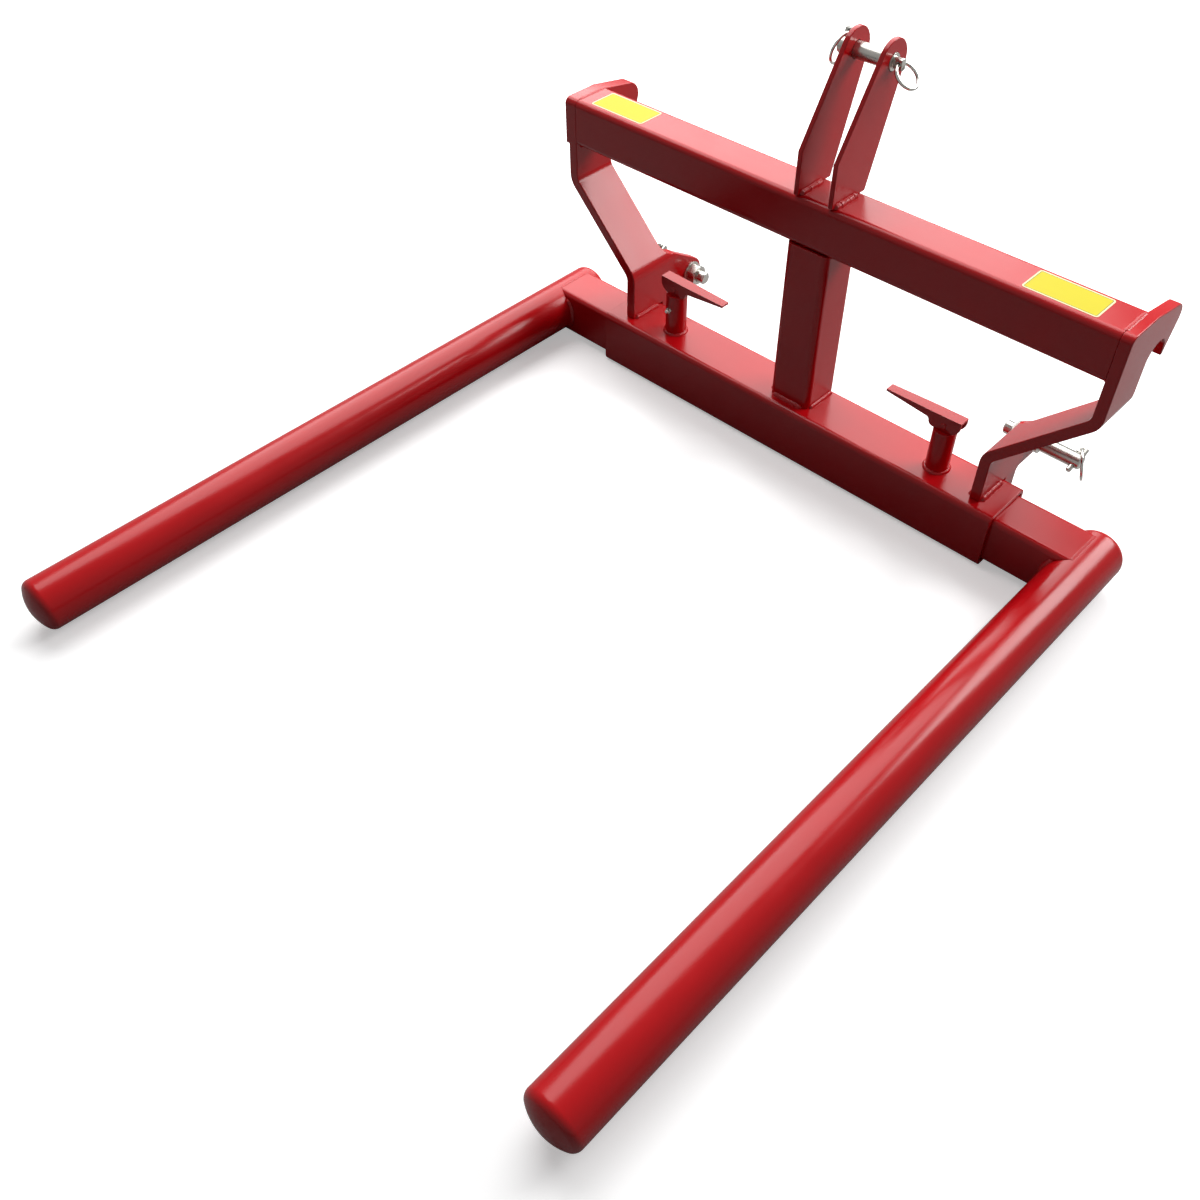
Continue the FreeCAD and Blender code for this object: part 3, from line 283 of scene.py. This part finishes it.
def printed_vinyl(name, shade_colour):
    """Printed matt vinyl: flat colour with a soft, weak shine."""
    material, tree, place = new_material(name)
    tone = Vector(shade_colour)
    grain = add(tree, "ShaderNodeTexNoise", {"Scale": 1 / 0.02, "Detail": 2.0},
                {"Vector": (place, "Object")})
    base = tinted(tree, grain, tone * 0.96, tone)
    # slight waviness of the film where it follows the coat below
    bump = add(tree, "ShaderNodeBump", {"Strength": 0.1, "Distance": 0.1 * MM},
               {"Height": (grain, "Fac")})
    shade(tree, {"Roughness": 0.5, "Specular IOR Level": 0.2},
          {"Base Color": (base, 2), "Normal": (bump, "Normal")})
    return material


def finishes():
    """The materials by slot, made once."""
    metal = bpy.context.scene.carrier_metal
    if "powder_coated_steel_red" not in bpy.data.materials:
        powder_coated_steel()
        # electroplated zinc, turned parts: a soft silvery shine with turning marks
        bright_metal("zinc_plated_steel_turned", metal.zinc, 0.26, (1.0, 0.15, 0.15), 0.25)
        # drawn wire, plated: a brighter, smoother shine
        bright_metal("zinc_plated_wire_drawn", metal.wire, 0.16, (0.3, 0.3, 0.3), 0.1)
        # oil-hardened wire: dark grey, half matt
        bright_metal("spring_steel_hardened", metal.spring, 0.38, (0.4, 0.4, 0.4), 0.2)
    names = {
        "red_paint": "powder_coated_steel_red",
        "zinc": "zinc_plated_steel_turned",
        "bright_wire": "zinc_plated_wire_drawn",
        "spring_steel": "spring_steel_hardened",
    }
    return {slot: bpy.data.materials[name] for slot, name in names.items()}


# ------------------------------------------------------------------ shared shaping
def solid_of(node):
    """A CAD piece as a merged mesh with its flat faces joined."""
    shape = bmesh.new()
    shape.from_mesh(frame["nodes"][node].data)
    bmesh.ops.remove_doubles(shape, verts=shape.verts, dist=0.003 * MM)
    bmesh.ops.dissolve_degenerate(shape, edges=shape.edges, dist=0.003 * MM)
    bmesh.ops.dissolve_limit(shape, angle_limit=math.radians(0.4),
                             verts=shape.verts, edges=shape.edges)
    for face in shape.faces:
        face.material_index = 0
    return shape


def round_edges(shape, width, segments=3, wanted=None, sharpest=35):
    """Rounds the edges that turn by more than sharpest degrees, or the wanted ones of them."""
    limit = math.radians(sharpest)
    edges = [edge for edge in shape.edges
             if edge.is_manifold and edge.calc_face_angle(0.0) > limit
             and (wanted is None or wanted(edge))]
    if edges and width > 0:
        bmesh.ops.bevel(shape, geom=edges, offset=width, offset_type="OFFSET",
                        segments=segments, profile=0.5, affect="EDGES", material=-1,
                        clamp_overlap=False, loop_slide=True)
    return shape


def place_piece(name, shape, materials, body, nodes=(), sharp=48):
    """Makes the shape an object that rides on its body and stands for its CAD pieces."""
    limit = math.radians(sharp)
    for face in shape.faces:
        face.smooth = True
    for edge in shape.edges:
        edge.smooth = edge.calc_face_angle(0.0) < limit
    mesh = bpy.data.meshes.new(name)
    shape.to_mesh(mesh)
    shape.free()
    for material in materials:
        mesh.materials.append(material)
    obj = bpy.data.objects.new(name, mesh)
    bpy.context.scene.collection.objects.link(obj)
    even = obj.modifiers.new("even_shading", "WEIGHTED_NORMAL")
    even.keep_sharp = True
    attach(obj, body)
    if nodes:
        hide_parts(*nodes)
    return obj


def body_of(node):
    return frame["nodes"][node]["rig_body"]


def finish_node(node, suffix, slot, width, segments=3, wanted=None):
    """Copies a CAD piece, rounds its edges and paints or plates it."""
    shape = solid_of(node)
    round_edges(shape, width, segments, wanted)
    return place_piece(node + suffix, shape, [finishes()[slot]], body_of(node), [node])


# ------------------------------------------------------------------ weld beads
def lay_bead(shape, path, leg, half_angle=45, bulge=0.2, rough=0.05, closed=False, seed=0.0):
    """Carries a bead's section along path, a list of (point, outward direction).

    half_angle is the angle between the outward direction and the welded faces: 45 in an
    inside corner, 90 on a flat seam. Each ripple swells the bead and bows it forward.
    """
    ripple = bpy.context.scene.carrier_welds.ripple
    step = ripple / 4
    turn = shape.verts.layers.int.get("turn") or shape.verts.layers.int.new("turn")
    points = [Vector(point) for point, _ in path]
    outs = [Vector(out).normalized() for _, out in path]
    if closed:
        points.append(points[0].copy())
        outs.append(outs[0].copy())
    stations = []
    for index in range(len(points) - 1):
        run = points[index + 1] - points[index]
        count = max(1, round(run.length / step))
        for k in range(count):
            t = k / count
            stations.append((points[index] + run * t, outs[index].lerp(outs[index + 1], t),
                             run.normalized()))
    if not closed:
        stations.append((points[-1], outs[-1], (points[-1] - points[-2]).normalized()))
    front = 7
    sides = front + 1
    cosine = math.cos(math.radians(half_angle))
    sine = math.sin(math.radians(half_angle))
    total = len(stations)
    ring = bmesh.ops.create_circle(shape, segments=sides, radius=leg)["verts"]
    for number, vert in enumerate(ring):
        vert[turn] = number
    first = edges = list({edge for vert in ring for edge in vert.link_edges})
    for index, (centre, out, along) in enumerate(stations):
        if index:
            made = bmesh.ops.extrude_edge_only(shape, edges=edges)["geom"]
            ring = [item for item in made if isinstance(item, bmesh.types.BMVert)]
            edges = [item for item in made if isinstance(item, bmesh.types.BMEdge)
                     and all(vert in ring for vert in item.verts)]
        side = along.cross(out).normalized()
        wave = math.cos(2 * math.pi * index * step / ripple)
        drift = noise.noise(Vector((index * step / (3.2 * ripple) + seed, seed * 1.7, 0.3)))
        lump = noise.noise(Vector((index * step / (1.1 * ripple) + seed, seed * 2.3, 5.1)))
        fade = 1.0
        if not closed:
            ends = min(index, total - 1 - index) * step
            fade = min(1.0, 0.25 + 0.75 * math.sqrt(min(1.0, ends / (0.7 * leg))))
        size = leg * fade * (1 + rough * (1.6 * drift + lump))
        rise = leg * bulge * fade * (1 + 0.25 * wave + rough * 4 * lump)
        for vert in ring:
            number = vert[turn]
            if number == front:
                vert.co = centre - out * 0.35 * MM
                continue
            t = (number - front // 2) / (front // 2)
            sink = 0.25 * MM if abs(t) > 0.99 else 0.0
            bow = 0.22 * leg * (0.5 - t * t)
            vert.co = (centre + out * (size * cosine + rise * (1 - t * t) - sink)
                       + side * size * sine * t + along * bow)
    if closed:
        bmesh.ops.bridge_loops(shape, edges=first + edges)
    else:
        bmesh.ops.edgeloop_fill(shape, edges=first)
        bmesh.ops.edgeloop_fill(shape, edges=edges)
    return shape


def finish_beads(name, shape, body):
    bmesh.ops.recalc_face_normals(shape, faces=shape.faces)
    return place_piece(name, shape, [finishes()["red_paint"]], body, sharp=80)


# ------------------------------------------------------------------ operators
class CARRIER_OT_beams(Operator):
    """Paint the two beams and the post between them"""
    bl_idname = "carrier.beams"
    bl_label = "Beams and post"

    def execute(self, context):
        width = context.scene.carrier_edges.tube
        for node in ("lower_beam", "upper_beam", "post"):
            finish_node(node, "_painted", "red_paint", width, 2)
        return {"FINISHED"}


class CARRIER_OT_plates(Operator):
    """Paint the side plates and the top link ears, with their edges rounded"""
    bl_idname = "carrier.plates"
    bl_label = "Side plates and ears"

    def execute(self, context):
        width = context.scene.carrier_edges.plate
        for side in SIDES:
            finish_node(side + "_side_plate", "_painted", "red_paint", width, 3)
            finish_node(side + "_top_link_ear", "_painted", "red_paint", width * 0.7, 3)
        return {"FINISHED"}


class CARRIER_OT_arms(Operator):
    """Spin the round arm tubes, and paint their caps and the square inner tubes"""
    bl_idname = "carrier.arms"
    bl_label = "Arms"

    def execute(self, context):
        edges = context.scene.carrier_edges
        for side in SIDES:
            finish_node(side + "_inner_tube", "_painted", "red_paint", edges.tube, 2)
            node = side + "_arm_tube"
            low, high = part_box(node)
            centre = (low + high) / 2
            radius = (high.z - low.z) / 2
            wall = 5 * MM
            shape = bmesh.new()
            section = [(radius, low.y), (radius, high.y), (radius - wall, high.y),
                       (radius - wall, low.y)]
            verts = [shape.verts.new((centre.x + r, y, centre.z)) for r, y in section]
            line = [shape.edges.new((verts[i], verts[(i + 1) % 4])) for i in range(4)]
            bmesh.ops.spin(shape, geom=verts + line, cent=centre, axis=BACK, dvec=(0, 0, 0),
                           angle=math.tau, steps=144, use_merge=True, use_duplicate=False)
            bmesh.ops.recalc_face_normals(shape, faces=shape.faces)
            place_piece(side + "_arm_tube_painted", shape, [finishes()["red_paint"]],
                        body_of(node), [node])
            for end in ("_front_cap", "_rear_cap"):
                finish_node(side + end, "_painted", "red_paint", 0)
        return {"FINISHED"}


class CARRIER_OT_latches(Operator):
    """Finish the latches: housing, nipple, bolt, spring, lever and pivot"""
    bl_idname = "carrier.latches"
    bl_label = "Latches"

    def execute(self, context):
        edges = context.scene.carrier_edges
        for side in SIDES:
            finish_node(side + "_latch_housing", "_painted", "red_paint", edges.small * 1.6)
            finish_node(side + "_grease_nipple", "_plated", "zinc", 0)
            finish_node(side + "_latch_bolt", "_plated", "zinc", 0)
            node = side + "_latch_spring"
            low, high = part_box(node)
            spring = finish_node(node, "_coiled", "spring_steel", 0)
            top = (low + high) / 2
            top.z = high.z
            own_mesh(spring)
            finish_node(side + "_lever_pivot", "_painted", "red_paint", edges.small)
            node = side + "_lever"
            shape = bmesh.new()
            shape.from_mesh(frame["nodes"][node].data)
            bmesh.ops.remove_doubles(shape, verts=shape.verts, dist=0.003 * MM)
            lever = place_piece(node + "_painted", shape, [finishes()["red_paint"]],
                                body_of(node), [node])
            folds = lever.modifiers.new("rounded_folds", "BEVEL")
            folds.width = edges.fold
            folds.segments = 3
            folds.limit_method = "ANGLE"
            folds.angle_limit = math.radians(40)
            lever.modifiers.move(1, 0)
        return {"FINISHED"}


class CARRIER_OT_pins(Operator):
    """Plate the lower link pins with their washers and nuts, and the top link pin"""
    bl_idname = "carrier.pins"
    bl_label = "Link pins"

    def execute(self, context):
        width = context.scene.carrier_edges.small
        for side in SIDES:
            for node in ("_lower_link_pin", "_link_washer", "_link_nut"):
                finish_node(side + node, "_plated", "zinc", width, 2)
        finish_node("top_link_pin", "_plated", "zinc", width, 2)
        return {"FINISHED"}


class CARRIER_OT_lynch_pins(Operator):
    """Finish the lynch pins and the pull ring"""
    bl_idname = "carrier.lynch_pins"
    bl_label = "Lynch pins and pull ring"

    def execute(self, context):
        width = context.scene.carrier_edges.small
        for which in ("left", "right", "top"):
            finish_node(which + "_lynch_plug", "_plated", "zinc", width, 2)
            finish_node(which + "_lynch_bail", "_drawn", "bright_wire", 0)
        finish_node("pull_ring", "_drawn", "bright_wire", 0)
        return {"FINISHED"}


class CARRIER_OT_labels(Operator):
    """Stick the plain labels on the upper beam"""
    bl_idname = "carrier.labels"
    bl_label = "Labels"

    def execute(self, context):
        sizes = context.scene.carrier_labels
        vinyl = [printed_vinyl("printed_vinyl_cream", sizes.edge),
                 printed_vinyl("printed_vinyl_line", sizes.line),
                 printed_vinyl("printed_vinyl_yellow", sizes.field)]
        for side in SIDES:
            node = side + "_label"
            low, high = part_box(node)
            shape = bmesh.new()
            centre = (low + high) / 2
            place = Matrix.Translation((centre.x, centre.y, low.z)) @ Matrix.Diagonal(
                (high.x - low.x, high.y - low.y, 1, 1))
            bmesh.ops.create_grid(shape, x_segments=1, y_segments=1, size=0.5, matrix=place)
            bmesh.ops.bevel(shape, geom=shape.verts[:], offset=sizes.corner, segments=6,
                            profile=0.5, affect="VERTICES", material=-1)
            walls = bmesh.ops.extrude_face_region(shape, geom=shape.faces[:])["geom"]
            top_verts = [item for item in walls if isinstance(item, bmesh.types.BMVert)]
            bmesh.ops.translate(shape, verts=top_verts, vec=(0, 0, high.z - low.z))
            top = max(shape.faces, key=lambda face: face.calc_center_median().z)
            for index, width in ((1, sizes.margin), (2, sizes.line_width)):
                bmesh.ops.inset_region(shape, faces=[top], thickness=width, use_even_offset=True)
                top.material_index = index
            bmesh.ops.recalc_face_normals(shape, faces=shape.faces)
            place_piece(node + "_printed", shape, vinyl, body_of(node), [node])
        return {"FINISHED"}


class CARRIER_OT_welds(Operator):
    """Lay the weld beads on the frame and on the arms"""
    bl_idname = "carrier.welds"
    bl_label = "Weld beads"

    def execute(self, context):
        leg = context.scene.carrier_welds.leg
        lower_low, lower_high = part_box("lower_beam")
        upper_low, upper_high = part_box("upper_beam")
        post_low, post_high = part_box("post")
        deck = lower_high.z
        roof = upper_high.z
        front, rear = upper_low.y, upper_high.y
        for side, sign in SIDES.items():
            outward = ACROSS * sign
            foot_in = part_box(side + "_link_washer")[1 if sign > 0 else 0].x
            plate = abs(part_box("right_side_plate")[1].x - upper_high.x)
            foot_out = foot_in + sign * plate
            head_in = sign * upper_high.x
            shape = bmesh.new()
            # plate foot on the lower beam, inside and outside
            for x, way in ((foot_in, -outward), (foot_out, outward)):
                lay_bead(shape, [((x, -21 * MM, deck), way + UP), ((x, 33 * MM, deck), way + UP)],
                         leg * 0.9, 45, 0.22, 0.07, seed=x * 40)
            # seam between the upper beam and the plate's head, over the top
            lay_bead(shape, [((head_in, front + 10 * MM, roof), UP),
                             ((head_in, rear - 9 * MM, roof), UP)],
                     leg * 0.55, 90, 0.28, 0.10, seed=3.1 + sign)
            # rear corner and underside corner of the same joint
            lay_bead(shape, [((head_in, rear, roof - 8 * MM), BACK - outward),
                             ((head_in, rear, upper_low.z + 8 * MM), BACK - outward)],
                     leg * 0.9, 45, 0.2, 0.08, seed=5.2 + sign)
            lay_bead(shape, [((head_in, front + 7 * MM, upper_low.z), -UP - outward),
                             ((head_in, rear - 7 * MM, upper_low.z), -UP - outward)],
                     leg * 0.9, 45, 0.2, 0.08, seed=7.3 + sign)
            finish_beads(side + "_plate_welds", shape, "frame")

            # ear base, inside and outside
            low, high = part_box(side + "_top_link_ear")
            shape = bmesh.new()
            for x, way in ((low.x, -ACROSS), (high.x, ACROSS)):
                lay_bead(shape, [((x, front + 6 * MM, roof), way + UP),
                                 ((x, 30 * MM, roof), way + UP)],
                         leg, 45, 0.22, 0.09, seed=x * 90)
            finish_beads(side + "_ear_welds", shape, "frame")

            # ring round the latch housing's foot
            low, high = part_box(side + "_latch_housing")
            centre = (low + high) / 2
            radius = (high.x - low.x) / 2
            shape = bmesh.new()
            ring = []
            for turn in range(32):
                angle = math.tau * turn / 32
                way = Vector((math.cos(angle), math.sin(angle), 0))
                ring.append((Vector((centre.x, centre.y, deck)) + way * radius, way + UP))
            lay_bead(shape, ring, leg * 0.6, 45, 0.2, 0.10, closed=True, seed=9.1 + sign)
            finish_beads(side + "_housing_weld", shape, "frame")

            # inner tube to round arm: over the top and down both sides
            low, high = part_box(side + "_inner_tube")
            arm_low, arm_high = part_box(side + "_arm_tube")
            axis_x = (arm_low.x + arm_high.x) / 2
            axis_z = (arm_low.z + arm_high.z) / 2
            radius = (arm_high.x - arm_low.x) / 2
            shape = bmesh.new()

            def on_arm(height):
                reach = math.sqrt(max(0.0, radius ** 2 - (height - axis_z) ** 2))
                return axis_x - sign * reach

            top = high.z
            lay_bead(shape, [((on_arm(top), low.y + 6 * MM, top), UP),
                             ((on_arm(top), high.y - 6 * MM, top), UP)],
                     leg * 0.6, 90, 0.12, 0.12, seed=11.7 + sign)
            for y, way in ((low.y, -BACK), (high.y, BACK)):
                path = []
                for height in range(16, 75, 4):
                    z = height * MM
                    path.append(((on_arm(z), y, z), way - outward * 0.8))
                lay_bead(shape, path, leg * 0.8, 45, 0.15, 0.08, seed=13.1 + y * 30 + sign)
            finish_beads(side + "_arm_welds", shape, body_of(side + "_arm_tube"))

        # post to both beams
        shape = bmesh.new()
        for z, way in ((post_low.z, UP), (post_high.z, -UP)):
            for x in (post_low.x, post_high.x):
                out = ACROSS if x > 0 else -ACROSS
                lay_bead(shape, [((x, front + 8 * MM, z), out + way),
                                 ((x, rear - 8 * MM, z), out + way)],
                         leg * 0.75, 45, 0.2, 0.06, seed=x * 70 + z * 9)
        lay_bead(shape, [((post_low.x + 8 * MM, front, deck), UP - BACK),
                         ((post_high.x - 8 * MM, front, deck), UP - BACK)],
                 leg * 0.75, 45, 0.2, 0.06, seed=21.3)
        finish_beads("post_welds", shape, "frame")
        return {"FINISHED"}


class CARRIER_OT_studio(Operator):
    """Set up the floor, the softboxes, the surround and the camera"""
    bl_idname = "carrier.studio"
    bl_label = "Studio"

    def execute(self, context):
        scene = context.scene
        studio = scene.carrier_studio
        centre = Vector((0, -0.4, 0.2))
        for name, way, distance, width, power in (
                ("large_softbox", (-0.50, 0.48, 0.74), 3.2, 3.8, studio.key),
                ("side_softbox", (0.37, 0.75, 0.57), 3.1, 1.4, studio.side)):
            lamp = bpy.data.lights.new(name, "AREA")
            lamp.shape = "SQUARE"
            lamp.size = width
            lamp.energy = power
            obj = bpy.data.objects.new(name, lamp)
            direction = Vector(way).normalized()
            obj.location = centre + direction * distance
            obj.rotation_mode = "QUATERNION"
            obj.rotation_quaternion = direction.to_track_quat("Z", "Y")
            scene.collection.objects.link(obj)
            obj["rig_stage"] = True

        world = bpy.data.worlds.new("studio_surround")
        world.use_nodes = True
        tree = world.node_tree
        tree.nodes.clear()
        pale = pale_rays(tree)
        strength = add(tree, "ShaderNodeMapRange",
                       {"To Min": studio.surround, "To Max": 1.0}, {"Value": (pale, "Value")})
        glow = add(tree, "ShaderNodeBackground", {"Color": (1, 1, 1, 1)},
                   {"Strength": (strength, "Result")})
        add(tree, "ShaderNodeOutputWorld", None, {"Surface": (glow, "Background")})
        scene.world = world

        low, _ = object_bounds()
        shape = bmesh.new()
        bmesh.ops.create_grid(shape, x_segments=8, y_segments=8, size=14.0,
                              matrix=Matrix.Translation((0, 0, low.z)))
        mesh = bpy.data.meshes.new("studio_floor")
        shape.to_mesh(mesh)
        shape.free()
        floor = bpy.data.objects.new("studio_floor", mesh)
        scene.collection.objects.link(floor)
        material, tree, place = new_material("matt_paper_floor")
        tone = Vector(studio.floor)
        # rolled paper: a barely uneven white
        grain = add(tree, "ShaderNodeTexNoise", {"Scale": 3.0, "Detail": 2.0},
                    {"Vector": (place, "Object")})
        shown = tinted(tree, grain, tone * 0.99, tone)
        pale = pale_rays(tree)
        seen = add(tree, "ShaderNodeMix", None, {"Factor": (pale, "Value")}, data_type="RGBA")
        seen.inputs[6].default_value = (0.1, 0.1, 0.1, 1)
        tree.links.new(shown.outputs[2], seen.inputs[7])
        # the paper glows a little for the camera alone, more with distance
        path = add(tree, "ShaderNodeLightPath")
        reach = add(tree, "ShaderNodeVectorMath", None, {0: (place, "Object")},
                    operation="LENGTH")
        far = add(tree, "ShaderNodeMapRange",
                  {"From Min": 2.0, "From Max": 5.0, "To Min": 0.38, "To Max": 1.0},
                  {"Value": (reach, "Value")})
        lift = add(tree, "ShaderNodeMath", None,
                   {0: (path, "Is Camera Ray"), 1: (far, "Result")}, operation="MULTIPLY")
        shade(tree, {"Roughness": 1.0, "Specular IOR Level": 0.0,
                     "Emission Color": (1, 1, 1, 1)},
              {"Base Color": (seen, 2), "Emission Strength": (lift, "Value")})
        mesh.materials.append(material)
        floor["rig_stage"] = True

        lens = bpy.data.cameras.new("camera")
        lens.lens = 35.98
        lens.sensor_width = 36.0
        lens.shift_x = -0.0082
        lens.shift_y = 0.0027
        lens.clip_end = 100.0
        camera = bpy.data.objects.new("camera", lens)
        azimuth, elevation, roll = (math.radians(v) for v in (44.14, 47.05, -0.68))
        forward = Vector((-math.sin(azimuth) * math.cos(elevation),
                          math.cos(azimuth) * math.cos(elevation), -math.sin(elevation)))
        level = Vector((math.cos(azimuth), math.sin(azimuth), 0))
        above = level.cross(forward)
        right = level * math.cos(roll) + above * math.sin(roll)
        upward = above * math.cos(roll) - level * math.sin(roll)
        camera.matrix_world = Matrix.Translation((0.8176, -1.2575, 1.2083)) @ Matrix(
            (right, upward, -forward)).transposed().to_4x4()
        scene.collection.objects.link(camera)
        scene.camera = camera
        camera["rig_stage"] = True

        scene.view_settings.view_transform = "Standard"
        return {"FINISHED"}


STEPS = (CARRIER_OT_beams, CARRIER_OT_plates, CARRIER_OT_arms, CARRIER_OT_latches,
         CARRIER_OT_pins, CARRIER_OT_lynch_pins, CARRIER_OT_labels, CARRIER_OT_welds,
         CARRIER_OT_studio)


class CARRIER_PT_panel(Panel):
    """Lists the steps and their settings"""
    bl_idname = "CARRIER_PT_panel"
    bl_label = "Round bale carrier"
    bl_space_type = "VIEW_3D"
    bl_region_type = "UI"
    bl_category = "Carrier"

    def draw(self, context):
        for step in STEPS:
            self.layout.operator(step.bl_idname)
        for name, group in GROUPS.items():
            box = self.layout.box()
            box.label(text=group.__name__[len("Carrier"):])
            for key in group.__annotations__:
                box.prop(getattr(context.scene, name), key)


def register():
    for name, group in GROUPS.items():
        bpy.utils.register_class(group)
        setattr(bpy.types.Scene, name, PointerProperty(type=group))
    for step in STEPS:
        bpy.utils.register_class(step)
    bpy.utils.register_class(CARRIER_PT_panel)


def unregister():
    bpy.utils.unregister_class(CARRIER_PT_panel)
    for step in reversed(STEPS):
        bpy.utils.unregister_class(step)
    for name, group in GROUPS.items():
        delattr(bpy.types.Scene, name)
        bpy.utils.unregister_class(group)


def main():
    """Runs every step in order."""
    register()
    for step in STEPS:
        group, name = step.bl_idname.split(".")
        getattr(getattr(bpy.ops, group), name)()


if __name__ == "__main__":
    main()
